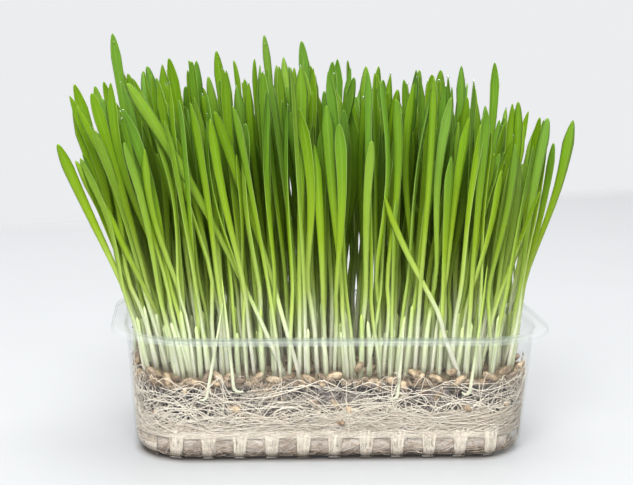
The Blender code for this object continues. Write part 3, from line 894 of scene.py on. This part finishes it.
def fillers():
    """Finer and shorter blades between those of the part's source, with more varied leans."""
    rng = random.Random(SEED + 41)
    left, right = FILLER_ENDS
    blades = []
    for row in range(ROWS):
        reach = row_reach(row) - 0.003
        for k in range(FILLERS_PER_ROW + END_FILLERS_PER_ROW):
            root_x = rng.uniform(-reach, reach)
            root_y = row_y(row) + rng.uniform(-0.0052, 0.0052)
            stray = 0.028 if rng.random() < 0.3 else 0.0095
            if k >= FILLERS_PER_ROW:
                root_x = rng.choice((-1, 1)) * (reach - abs(rng.gauss(0, 0.013)))
                root_y = row_y(row) + ROW_PITCH / 2 + rng.gauss(0, 0.0018)
                stray = 0.007
            root_y = held(root_y, 0.0435)
            tip_x = root_x + lean_at(root_x) * rng.uniform(0.2, 1.2) + rng.gauss(0, stray)
            tip_x = max(left, min(right, tip_x))
            tip_y = held(root_y * FAN_OUT + rng.gauss(0, 0.0045), FILLER_ASIDE)
            tip_z = max(FILLER_LOWEST, crown_at(tip_x) - 0.016 - abs(rng.gauss(0, 0.022)))
            width = LEAF_WIDTH * rng.uniform(0.6, 0.95)
            root = (root_x, root_y, ROOT_HEIGHT)
            blades.append(Blade(row, root, (tip_x, tip_y, tip_z), width, rng.uniform(-1.4, 1.4)))
    return blades


def blade_path(blade, levels, rng):
    """A blade's line, which strays a little from that of the part's source between root and tip."""
    path = np.array([blade.at(t) for t in levels])
    sway = rng.gauss(0, 0.0013)
    bow = rng.gauss(0, 0.0026)
    above = soft_step(0.2, 0.4, levels)
    path[:, 0] += rng.gauss(0, 0.0012) * (1 - soft_step(0.0, 0.3, levels))
    path[:, 1] += rng.gauss(0, 0.0019) * (1 - soft_step(0.0, 0.6, levels))
    path[:, 0] += sway * np.sin(2 * np.pi * levels) * above
    path[:, 1] += bow * np.sin(np.pi * levels) * above
    return path


def blade_form(skin, blade, rng):
    """A fine blade: a round stem that opens into a thin, folded leaf with a rounded tip."""
    tip_share = TIP_LENGTH / blade.tall
    levels = np.concatenate([np.array(BLADE_LEVELS) * (1 - tip_share), 1 - np.array(TIP_LEVELS) * tip_share])
    path = blade_path(blade, levels, rng)
    facing = blade.facing + rng.gauss(0, 0.45) * (levels - 0.75)
    along = unit(np.gradient(path, axis=0))
    across = np.stack([np.cos(facing), np.sin(facing), np.zeros_like(facing)], -1)
    across = unit(across - along * np.sum(across * along, axis=1, keepdims=True))
    opened = np.interp(levels, *zip(*LEAF_SHAPE))
    near_tip = np.clip((1 - levels) / tip_share, 0.0, 1.0)
    pointed = rng.uniform(0.1, 0.75)
    rounding = np.sqrt(1 - (1 - near_tip) ** 2) * (1 - pointed) + near_tip * pointed
    stem = STEM_RADIUS * rng.uniform(0.75, 1.05)
    half_width = (stem + (blade.width / 2 - stem) * opened) * rounding
    half_depth = stem * (1 - opened) * rounding + LEAF_THICKNESS / 2 * opened
    fold = rng.uniform(0.2, 0.85) * rng.choice((-1, 1)) * opened
    turns = 2 * np.pi * np.arange(BLADE_SIDES) / BLADE_SIDES
    wide = np.cos(turns)[None, :]
    folded = (fold * half_width)[:, None] * (np.abs(wide) ** 1.15 - 0.5)
    depth = np.sin(turns)[None, :] * half_depth[:, None] + folded
    rings = path[:, None, :] + across[:, None, :] * (wide * half_width[:, None])[..., None]
    rings = rings + np.cross(along, across)[:, None, :] * depth[..., None]
    # how deep in the sward each point lies: the leaf's look darkens by it as painted shade
    deep = shaded(blade, path)[:, None]
    skin.add(rings, apex=blade.tip, side=wide, deep=deep, tone=rng.random(), age=rng.random())


def shaded(blade, path):
    """How deep in the sward each point of a blade's line lies, from 0 on its outside to 1 in its midst, for
    painted shade.
    """
    from_front = (ROWS / 2 - abs(blade.row - (ROWS - 1) / 2)) * ROW_PITCH
    leaned = lean_at(blade.root.x) * soft_step(0.0, 0.15, path[:, 2])
    from_end = row_reach(blade.row) - np.abs(path[:, 0] - leaned)
    below = crown_at(path[:, 0]) - path[:, 2]
    return soft_step(0.004, 0.026, np.minimum(from_front, from_end)) * soft_step(0.008, 0.045, below)


def grass_skin():
    """An empty skin with the values that the leaf's look reads."""
    return Skin("side", "deep", "tone", "age")


def build_grass(look):
    """Each row of fine blades, which stands for a row of the part's source."""
    blades = sward() + fillers()
    rng = random.Random(SEED + 51)
    for row in range(ROWS):
        skin = grass_skin()
        for blade in blades:
            if blade.row == row:
                blade_form(skin, blade, rng)
        skin.piece(f"blades_row_{row + 1}", look, "barley_green", [f"grass_row_{row + 1}"])
    return blades


def build_sheaths(blades, look):
    """The pale sheaths round the feet of some stems: thin sleeves that end in a slanted point."""
    rng = random.Random(SEED + 61)
    skin = grass_skin()
    for blade in blades:
        if rng.random() > SHEATH_SHARE:
            continue
        levels = np.linspace(0.0, rng.uniform(0.016, 0.030) / blade.tall, SHEATH_STEPS)
        path = np.array([blade.at(t) for t in levels])
        radii = np.array([1.0, 1.26, 1.28, 1.22, 1.1, 0.88]) * STEM_RADIUS
        path[:, 0] += np.array([0, 0, 0, 0.1, 0.35, 0.8]) * STEM_RADIUS * rng.choice((-1, 1))
        outward = np.tile([0.0, -1.0, 0.0], (SHEATH_STEPS, 1))
        tip = path[-1] + (path[-1] - path[-2]) * 0.45
        skin.add(tube_rings(path, radii, outward, 7), apex=tip, tone=rng.random(), age=rng.random())
    skin.piece("sheaths", look, "barley_green")


def build_hooked_shoots(look):
    """Young shoots that leave their grain downwards and curl round before they rise, against the wall."""
    rng = random.Random(SEED + 71)
    skin = grass_skin()
    for k in range(HOOKED_SHOOTS):
        distance = (k + rng.uniform(0.1, 0.9)) / HOOKED_SHOOTS * ROUND
        turn = rng.choice((-1, 1))
        low = rng.uniform(0.0270, 0.0310)
        radius = rng.uniform(0.0014, 0.0034)
        tall = rng.uniform(0.030, 0.060)
        arc = np.linspace(rng.uniform(0.6, 1.0) * math.pi, 0.0, HOOK_STEPS)
        rise = np.array([0.08, 0.2, 0.4, 0.6, 0.8, 0.95])
        stray = rise * rng.gauss(0, 0.007)
        along = distance + turn * np.concatenate([radius * (1 + np.cos(arc)), 2 * radius + stray])
        heights = low + radius + np.concatenate([-radius * np.sin(arc), rise * tall])
        insets = 0.0018 + np.concatenate([np.zeros(HOOK_STEPS), 0.0050 * rise**2])
        path = wall(along, heights, insets)
        thickness = np.interp(np.arange(len(path)), [0, 2, 6, 11, 14], [0.3, 0.6, 0.9, 0.85, 0.35])
        radii = thickness * STEM_RADIUS * 0.9
        tip = path[-1] + 0.4 * (path[-1] - path[-2])
        rings = tube_rings(path, radii, around(along)[1], 7)
        skin.add(rings, apex=tip, tone=rng.random(), age=rng.random())
    skin.piece("hooked_shoots", look, "barley_green")


def build_drops(blades, look):
    """Drops of water on tips and edges."""
    rng = random.Random(SEED + 81)
    shape = bmesh.new()
    for blade in rng.sample(blades, DROPS):
        place = blade.at(rng.choice((1.0, 1.0, 0.97, rng.uniform(0.6, 0.95))))
        size = rng.uniform(0.00035, 0.00070)
        matrix = Matrix.Translation(place) @ Matrix.Diagonal((size, size, size * 1.15, 1.0))
        bmesh.ops.create_icosphere(shape, subdivisions=2, radius=1.0, matrix=matrix)
    mesh = bpy.data.meshes.new("drops")
    shape.to_mesh(mesh)
    shape.free()
    mesh.shade_smooth()
    piece("drops", mesh, look)


# Materials


class Output:
    """A node's output. It takes part in sums and products as a number does."""

    def __init__(self, look, socket):
        self.look = look
        self.socket = socket

    def maths(self, kind, other=0.0):
        """The outcome of an operation on it, or on it and another number."""
        return self.look.node("Math", {0: self, 1: other}, operation=kind)

    def __add__(self, other):
        return self.maths("ADD", other)

    def __sub__(self, other):
        return self.maths("SUBTRACT", other)

    def __mul__(self, other):
        return self.maths("MULTIPLY", other)

    def __pow__(self, other):
        return self.maths("POWER", other)

    def __abs__(self):
        return self.maths("ABSOLUTE")

    def remap(self, low, high, to_low=0.0, to_high=1.0, kind="SMOOTHSTEP"):
        """It carried from one range to another, held at the ends."""
        inputs = {"Value": self, "From Min": low, "From Max": high, "To Min": to_low, "To Max": to_high}
        return self.look.node("MapRange", inputs, interpolation_type=kind)


class Look:
    """The nodes of a new material or world. Each method adds nodes and gives their output."""

    def __init__(self, owner):
        owner.use_nodes = True
        self.owner = owner
        self.tree = owner.node_tree
        self.tree.nodes.clear()

    def node(self, kind, inputs, output=0, **settings):
        """A node with its settings, and with its inputs set or linked."""
        made = self.tree.nodes.new("ShaderNode" + kind)
        for key, value in settings.items():
            setattr(made, key, value)
        for key, value in inputs.items():
            if isinstance(value, Output):
                self.tree.links.new(value.socket, made.inputs[key])
            else:
                made.inputs[key].default_value = value
        return Output(self, made.outputs[output])

    def finish(self, shader, kind="Material"):
        """Links a shader to the output, and gives the finished material or world."""
        end = self.tree.nodes.new("ShaderNodeOutput" + kind)
        self.tree.links.new(shader.socket, end.inputs["Surface"])
        return self.owner

    def attribute(self, name):
        """A per-vertex value of the mesh."""
        return self.node("Attribute", {}, "Fac", attribute_name=name)

    def place(self, kind="Object"):
        """Coordinates, in metres."""
        return self.node("TexCoord", {}, kind)

    def axis(self, name, kind="Object"):
        """One of the coordinates."""
        return self.node("SeparateXYZ", {"Vector": self.place(kind)}, name)

    def length(self, vector):
        """How long a vector is."""
        return self.node("VectorMath", {0: vector}, "Value", operation="LENGTH")

    def clouds(self, scale, detail=3.0, roughness=0.55, stretch=(1.0, 1.0, 1.0)):
        """Noise, 0 to 1."""
        where = self.node("Mapping", {"Vector": self.place(), "Scale": stretch})
        inputs = {"Vector": where, "Scale": scale, "Detail": detail, "Roughness": roughness}
        return self.node("TexNoise", inputs, "Fac")

    def specks(self, scale):
        """The distance from the nearest of many scattered points."""
        return self.node("TexVoronoi", {"Vector": self.place(), "Scale": scale}, "Distance")

    def bump(self, height, strength, distance):
        """A normal that follows a height."""
        return self.node("Bump", {"Height": height, "Strength": strength, "Distance": distance})

    def ramp(self, factor, stops):
        """A colour that runs through (position, colour) stops."""
        made = self.node("ValToRGB", {"Fac": factor}, "Color")
        elements = made.socket.node.color_ramp.elements
        while len(elements) < len(stops):
            elements.new(0.5)
        for element, (position, colour) in zip(elements, stops):
            element.position = position
            element.color = (*colour, 1.0)
        return made

    def mix(self, factor, first, second, kind="MIX"):
        """One colour over another."""
        pair = [colour if isinstance(colour, Output) else (*colour, 1.0) for colour in (first, second)]
        return self.node("Mix", {0: factor, 6: pair[0], 7: pair[1]}, 2, data_type="RGBA", blend_type=kind)

    def surface(self, colour, roughness, **inputs):
        """A Principled surface. A space in an input's name is written as a low line."""
        more = {key.replace("_", " "): value for key, value in inputs.items()}
        return self.node("BsdfPrincipled", {"Base Color": colour, "Roughness": roughness, **more})

    def blend(self, factor, first, second):
        """One shader over another."""
        return self.node("MixShader", {0: factor, 1: first, 2: second})


def new_look(name):
    """The look of a new material."""
    return Look(bpy.data.materials.new(name))


def grass_look():
    """Barley leaf: white at the foot, yellow-green, then full green, veined, with light coming through."""
    look = new_look("barley_leaf")
    tone = look.attribute("tone")
    age = look.attribute("age")
    side = look.attribute("side")
    share = ((age - 0.5) * 0.016 + look.axis("Z")).remap(0.032, 0.182, kind="LINEAR")
    growth = (
        (0.02, (0.93, 0.90, 0.82)),
        (0.14, (0.83, 0.86, 0.68)),
        (0.25, (0.58, 0.71, 0.20)),
        (0.43, (0.335, 0.485, 0.024)),
        (0.63, (0.22, 0.375, 0.009)),
        (0.90, (0.172, 0.325, 0.005)),
    )
    pale = tone.remap(0.45, 1.0, 0.0, 0.4) * share.remap(0.1, 0.35)
    colour = look.mix(pale, look.ramp(share, growth), (0.35, 0.51, 0.12))
    cool = age.remap(0.25, 0.9, 0.0, 0.6) * share.remap(0.45, 0.8)
    colour = look.mix(cool, colour, (0.155, 0.33, 0.055))
    streaks = look.clouds(900.0, 2.0, stretch=(1.0, 1.0, 0.06)).remap(0.35, 0.7, 0.0, 0.25)
    colour = look.mix(streaks, colour, (1.25, 1.2, 1.0), "MULTIPLY")
    colour = look.mix(abs(side).remap(0.0, 0.22, 0.24, 0.0), colour, (0.43, 0.62, 0.12))
    # painted highlight: a pale, light-catching line along the leaf's edges
    colour = look.mix(abs(side).remap(0.80, 1.0, 0.0, 0.65), colour, (0.52, 0.68, 0.26))
    # painted shade: leaves get darker deep inside the sward
    inside = look.attribute("deep") * share.remap(0.1, 0.4, 0.05, 0.75)
    colour = look.mix(inside, colour, (0.30, 0.36, 0.10), "MULTIPLY")
    veins = look.bump((side * 26.0).maths("SINE"), 0.45, 0.0001)
    surface = look.surface(colour, 0.4, Normal=veins, Specular_IOR_Level=0.4)
    light = (
        (0.05, (0.84, 0.84, 0.74)),
        (0.22, (0.62, 0.70, 0.30)),
        (0.45, (0.42, 0.58, 0.03)),
        (0.90, (0.30, 0.50, 0.004)),
    )
    through = look.node("BsdfTranslucent", {"Color": look.ramp(share, light)})
    return look.finish(look.blend(0.3, surface, through))


def felt_look():
    """Felted roots: cream, streaked along the tray, with painted shade at the foot and dark patches near the
    top.
    """
    look = new_look("root_felt_look")
    x = look.axis("X")
    z = look.axis("Z")
    fibres = look.clouds(1.0, 4.0, 0.6, (70.0, 70.0, 900.0))
    streaks = fibres.remap(0.36, 0.6)
    cream = look.mix(streaks, (0.59, 0.49, 0.40), (0.95, 0.87, 0.76))
    # painted shade: the felt darkens towards the foot
    foot_painted_shade = look.mix(z.remap(0.0010, 0.0095, 0.7, 0.0), cream, (0.42, 0.34, 0.27))
    # painted shade in the lower end corners, over a darker, streaky tangle of roots
    shaded_tangle = look.mix(streaks, (0.24, 0.19, 0.16), (0.62, 0.54, 0.47))
    corner = abs(x).remap(0.0730, 0.0770) * z.remap(0.0060, 0.0110, 0.85, 0.0)
    tangled_and_shaded = look.mix(corner, foot_painted_shade, shaded_tangle)
    loose = (x * -0.045 + z).remap(0.0140, 0.0215, 0.0, 0.34)
    dark = (look.clouds(210.0, stretch=(1.0, 1.0, 1.6)) + loose).remap(0.62, 0.74)
    colour = look.mix(dark, tangled_and_shaded, (0.075, 0.055, 0.042))
    return look.finish(look.surface(colour, 0.8, Normal=look.bump(fibres, 0.6, 0.0004), Sheen_Weight=0.2))


def film_look():
    """Fine roots and dirt spread thin: grey-pink, speckled towards the foot, and browner there with painted
    shade.
    """
    look = new_look("root_film_and_shade")
    fibres = look.clouds(1.0, 5.0, 0.68, (380.0, 380.0, 460.0))
    level = (look.clouds(70.0, 2.0) - 0.5) * 0.010 + look.axis("Z")
    # painted shade and shadow: the film darkens from grey-pink to dark brown towards the foot
    rising = (
        (0.0, (0.060, 0.042, 0.030)),
        (0.3, (0.17, 0.13, 0.102)),
        (0.6, (0.39, 0.345, 0.31)),
        (1.0, (0.60, 0.55, 0.50)),
    )
    plain = look.ramp(level.remap(0.0010, 0.0098, kind="LINEAR"), rising)
    streaked = look.mix(fibres.remap(0.45, 0.66, 0.0, 0.6), plain, (0.62, 0.55, 0.49))
    dotted = look.mix(look.specks(600.0).remap(0.05, 0.16, 0.7, 0.0), streaked, (0.07, 0.05, 0.035))
    return look.finish(look.surface(dotted, 0.7, Normal=look.bump(fibres, 0.6, 0.0003), Sheen_Weight=0.1))


def root_look():
    """Single roots: pale cream, some stained brown."""
    look = new_look("root_strand_look")
    shades = ((0.2, (0.60, 0.49, 0.39)), (0.6, (0.89, 0.81, 0.70)), (1.0, (0.86, 0.81, 0.73)))
    stains = look.clouds(160.0).remap(0.55, 0.75, 0.0, 0.35)
    colour = look.mix(stains, look.ramp(look.attribute("tone"), shades), (0.58, 0.44, 0.33))
    through = look.node("BsdfTranslucent", {"Color": colour})
    return look.finish(look.blend(0.2, look.surface(colour, 0.55, Sheen_Weight=0.1), through))


def soil_look():
    """Moist, nearly black soil with lighter specks, and paler where the finest roots cover it."""
    look = new_look("moist_soil")
    crumbs = look.clouds(700.0, 5.0, 0.7)
    dark = look.mix(crumbs, (0.008, 0.007, 0.007), (0.050, 0.036, 0.026))
    speckled = look.mix(look.specks(900.0).remap(0.0, 0.22, 0.35, 0.0), dark, (0.22, 0.16, 0.11))
    covered = look.clouds(85.0, 5.0, 0.62, (1.0, 1.0, 1.5)).remap(0.45, 0.58, 0.0, 0.85)
    colour = look.mix(covered, speckled, (0.35, 0.30, 0.275))
    return look.finish(look.surface(colour, 0.6, Normal=look.bump(crumbs, 0.9, 0.0006)))


def grain_look():
    """Wet barley husks, tan to brown and mottled."""
    look = new_look("barley_husk")
    mottled = look.clouds(420.0, 4.0)
    shades = ((0.0, (0.17, 0.12, 0.08)), (0.5, (0.40, 0.30, 0.19)), (1.0, (0.62, 0.49, 0.34)))
    husk = look.ramp(look.attribute("tone"), shades)
    colour = look.mix(mottled.remap(0.42, 0.62, 0.0, 0.8), husk, (0.15, 0.10, 0.065))
    return look.finish(look.surface(colour, 0.5, Normal=look.bump(mottled, 0.5, 0.0004)))


def plastic_look():
    """Clear thermoformed sheet: see-through, glossy at a glance, milky where it is seen through its edge."""
    look = new_look("clear_sheet")
    z = look.axis("Z")
    normal = look.bump(look.clouds(60.0, 2.0, stretch=(1.0, 1.0, 0.25)), 0.12, 0.0012)
    facing = look.node("LayerWeight", {"Blend": 0.5, "Normal": normal}, "Facing")
    grazing = facing**4.0
    rim = z.remap(RIM_HEIGHT - 0.0034, RIM_HEIGHT - 0.0012)
    foot = z.remap(0.0007, 0.0022, 1.0, 0.0)
    hazy = rim * abs(look.axis("X")).remap(0.070, 0.084, 1.0, 0.3)
    edge_tint = look.mix(hazy, (0.975, 0.980, 0.978), (0.56, 0.59, 0.56))
    clear = look.node("BsdfTransparent", {"Color": look.mix(facing**7.0, (0.997, 1.0, 0.998), edge_tint)})
    haze = look.mix(hazy, (0.86, 0.88, 0.86), (0.38, 0.42, 0.37))
    milk = look.surface(look.mix(foot, haze, (0.66, 0.55, 0.43)), 0.25)
    milky = hazy * 0.25 + (foot * 0.5 + (grazing * 0.03 + 0.012))
    gloss = look.node("BsdfGlossy", {"Roughness": 0.07, "Normal": normal})
    shine = grazing * rim.remap(0.0, 1.0, 0.11, 0.13) + 0.017
    return look.finish(look.blend(shine, look.blend(milky, clear, milk), gloss))


def water_look():
    """A drop of water."""
    look = new_look("water")
    tint = look.mix(look.clouds(300.0), (0.92, 0.97, 0.92), (0.99, 1.0, 0.99))
    clear = look.node("BsdfTransparent", {"Color": tint})
    gloss = look.node("BsdfGlossy", {"Roughness": 0.02})
    facing = look.node("LayerWeight", {"Blend": 0.35}, "Facing")
    return look.finish(look.blend(facing, clear, gloss))


# Stage, light and camera


def floor_look():
    """A pale table, shaded under the tray, that fades into the backdrop behind it and far from it."""
    look = new_look("pale_table")
    x = look.axis("X")
    y = look.axis("Y")
    behind = (x * -0.43 + y).remap(0.645, 0.76)
    far = look.length(look.place()).remap(1.1, 1.5)
    # painted shadow under the tray: the floor darkens and browns there, and its glow dims
    past = {"X": (abs(x) - CORE_X).maths("MAXIMUM"), "Y": (abs(y) - CORE_Y).maths("MAXIMUM")}
    in_shade = look.length(look.node("CombineXYZ", past)).remap(0.0210, 0.0275, 1.0, 0.0)
    under = in_shade * x.remap(0.066, 0.080, 1.0, 0.25)
    paper = look.mix(look.clouds(14.0, 2.0), (0.262, 0.265, 0.268), (0.272, 0.275, 0.280))
    colour = look.mix(under * 0.5, paper, (0.17, 0.135, 0.10))
    glow = under * -0.22 + 0.265
    surface = look.surface(colour, 0.55, Emission_Color=(0.97, 0.985, 1.0, 1.0), Emission_Strength=glow)
    clear = look.node("BsdfTransparent", {"Color": (1.0, 1.0, 1.0, 1.0)})
    return look.finish(look.blend(behind.maths("MAXIMUM", far), surface, clear))


def build_stage():
    """The floor and the backdrop's light."""
    mesh = bpy.data.meshes.new("floor")
    corners = [(x * FLOOR_REACH, y * FLOOR_REACH, 0.0) for x, y in ((-1, -1), (1, -1), (1, 1), (-1, 1))]
    mesh.from_pydata(corners, [], [(0, 1, 2, 3)])
    mesh.materials.append(floor_look())
    floor = show("floor", mesh)
    look = Look(bpy.data.worlds.new("backdrop"))
    upward = look.axis("Z", "Generated").remap(0.12, 0.6)
    glow = look.mix(upward, (0.858, 0.866, 0.881), (0.42, 0.43, 0.45))
    bpy.context.scene.world = look.finish(look.node("Background", {"Color": glow}), "World")
    bpy.context.scene.view_settings.view_transform = "Standard"
    bpy.context.scene.view_settings.gamma = 0.86


def lamp(name, place, power):
    """A square soft lamp that points at the grass."""
    light = bpy.data.lights.new(name, "AREA")
    light.shape = "SQUARE"
    light.size = 1.2
    light.energy = power
    made = show(name, light)
    made.location = place
    made.rotation_euler = (Vector((0, 0, 0.08)) - Vector(place)).to_track_quat("-Z", "Y").to_euler()


def build_camera():
    """The camera at the photograph's place."""
    right = CAMERA_AHEAD.cross(Vector((0, 0, 1))).normalized()
    up = right.cross(CAMERA_AHEAD).normalized()
    turned_right = right * math.cos(CAMERA_ROLL) - up * math.sin(CAMERA_ROLL)
    turned_up = right * math.sin(CAMERA_ROLL) + up * math.cos(CAMERA_ROLL)
    data = bpy.data.cameras.new("camera")
    data.lens = CAMERA_LENS
    data.sensor_width = 36.0
    data.clip_start = 0.05
    data.clip_end = 20.0
    made = show("camera", data)
    turn = Matrix((turned_right, turned_up, -CAMERA_AHEAD.normalized())).transposed()
    made.matrix_world = Matrix.Translation(CAMERA_PLACE) @ turn.to_4x4()
    bpy.context.scene.camera = made


def main():
    """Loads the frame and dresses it."""
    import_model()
    leaf = grass_look()
    husk = grain_look()
    build_stage()
    build_camera()
    lamp("sky", (0.05, 0.2, 2.1), 46.0)
    lamp("window", (-0.35, -1.4, 1.7), 78.0)
    build_tray(plastic_look())
    build_felt(felt_look())
    build_root_strands(root_look())
    build_gap_films(film_look())
    build_soil(soil_look())
    build_grain_bed(husk)
    build_grains(husk)
    blades = build_grass(leaf)
    build_sheaths(blades, leaf)
    build_hooked_shoots(leaf)
    build_drops(blades, water_look())


main()
